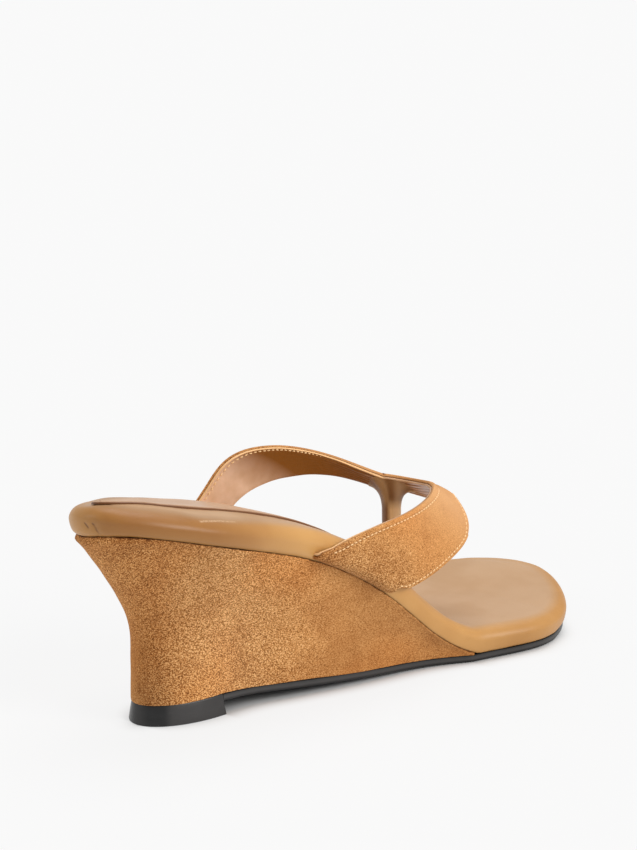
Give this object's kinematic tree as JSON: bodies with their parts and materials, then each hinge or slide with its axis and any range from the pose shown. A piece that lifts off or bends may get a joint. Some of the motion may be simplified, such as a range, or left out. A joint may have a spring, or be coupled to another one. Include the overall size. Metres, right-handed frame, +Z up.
{
  "type": "toe post wedge sandal",
  "caption": "Open wedge sandal with a padded wrapped footbed and a V-shaped suede strap that meets a toe post; it stands empty on its flat tread.",
  "frame": {"origin": "middle of the top lift's flat tread, on the floor", "axes": "+Y to the toe, +X to the outer side of the foot, +Z up"},
  "size_m": [0.0842, 0.245, 0.0861],
  "materials": {
    "sole_rubber": "black rubber with a low sheen",
    "suede": "brushed suede with a short nap",
    "wrap_leather": "satin smooth leather",
    "sock_leather": "satin smooth leather",
    "smooth_leather": "smooth leather with a soft shine"
  },
  "bodies": {
    "root": {"outsole": "sole_rubber", "top_lift": "sole_rubber", "wedge": "suede", "footbed": "wrap_leather", "sock": "sock_leather", "strap": "suede", "toe_post": "smooth_leather"}
  },
  "joints": []
}
